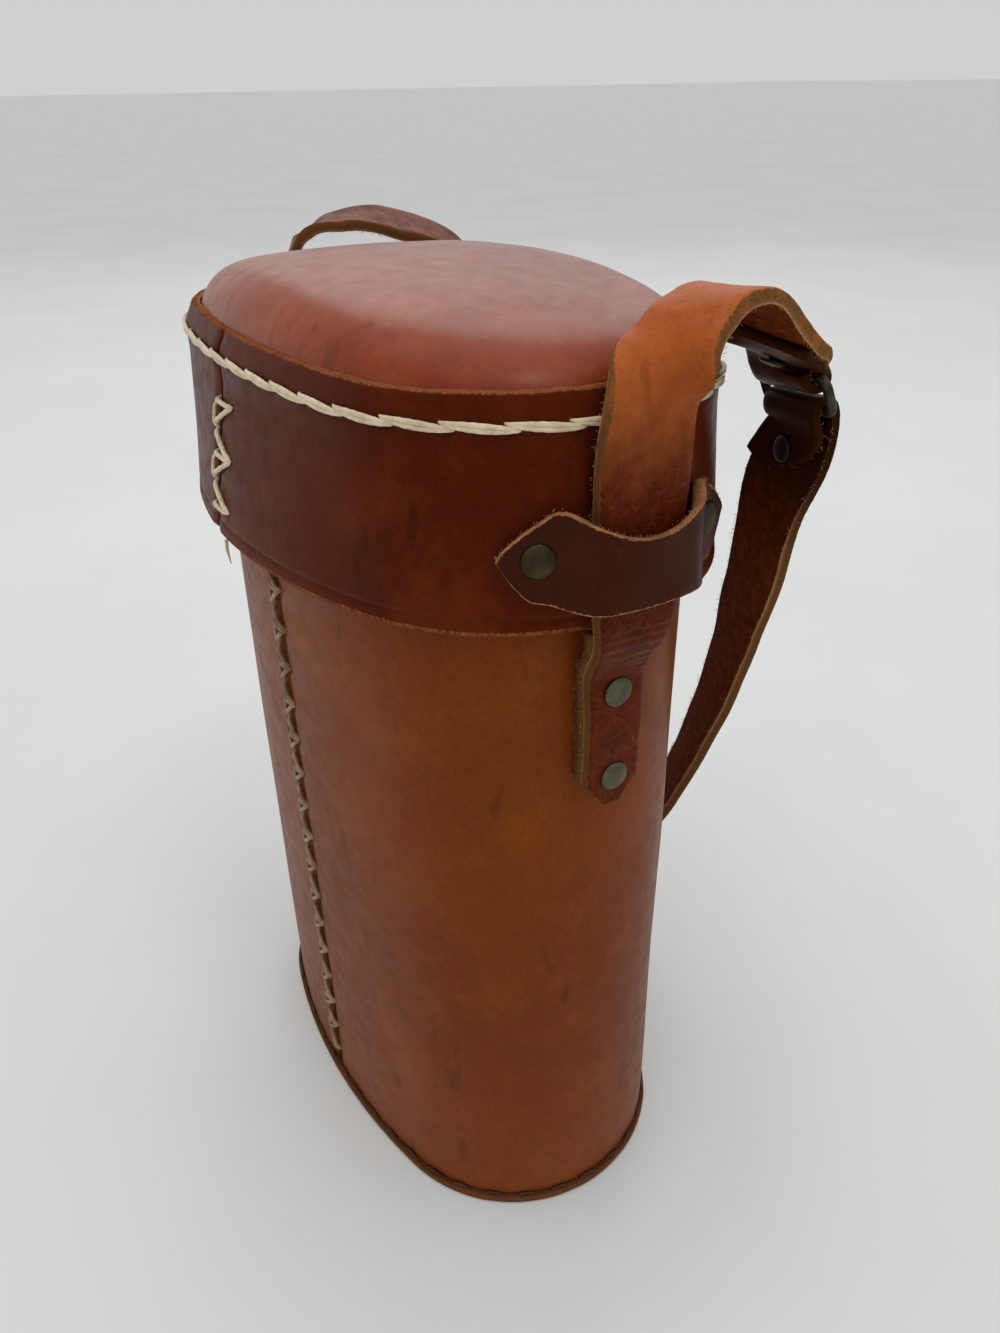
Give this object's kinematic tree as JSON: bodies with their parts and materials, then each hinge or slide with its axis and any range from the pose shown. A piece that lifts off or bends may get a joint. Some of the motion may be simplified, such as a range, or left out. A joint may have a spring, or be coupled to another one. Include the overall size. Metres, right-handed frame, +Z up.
{
  "type": "leather bottle carrier",
  "caption": "Oval leather carrier for two bottles with a domed lid that slides up its shoulder strap, laced seams, riveted strap ends and a wire loop joining the strap.",
  "frame": {"origin": "middle of the base panel's underside", "axes": "+X towards the end with the wire loop, -Y the broad side with the laced seam, +Z up"},
  "size_m": [0.2647, 0.1727, 0.3446],
  "materials": {
    "body_leather": "waxed vegetable-tanned leather",
    "lid_leather": "dark waxed leather",
    "crown_leather": "moulded, polished leather",
    "strap_leather": "waxed strap leather",
    "thread": "waxed linen thread",
    "rivet_bronze": "antique bronze",
    "ring_metal": "antique bronze"
  },
  "bodies": {
    "case": {"body_wall": "body_leather", "body_seam_lacing": "thread", "base_panel": "body_leather", "base_stitching": "thread", "front_strap_spacer": "body_leather", "rear_strap_spacer": "body_leather", "front_tab_rivets": "rivet_bronze", "rear_tab_rivets": "rivet_bronze", "short_strap": "strap_leather", "long_strap": "strap_leather"},
    "lid": {"lid_skirt": "lid_leather", "lid_seam_lacing": "thread", "lid_top": "crown_leather", "lid_rim_stitching": "thread", "front_keeper": "lid_leather", "rear_keeper": "lid_leather", "front_keeper_rivets": "rivet_bronze", "rear_keeper_rivets": "rivet_bronze", "short_fold_rivet": "rivet_bronze"},
    "ring": {"strap_ring": "ring_metal", "long_fold_rivet": "rivet_bronze"}
  },
  "joints": [
    {"name": "lid_lift", "type": "slide", "parent": "case", "child": "lid", "axis": [0, 0, 1], "range_m": [0, 0.06], "deforming": ["short_strap", "long_strap"]},
    {"name": "ring_swing", "type": "hinge", "parent": "lid", "child": "ring", "pos_m": [0.1022, 0.0607, 0.3145], "axis": [0.951, -0.2803, 0.1301], "range_deg": [-8, 25], "deforming": ["short_strap", "long_strap"]}
  ]
}
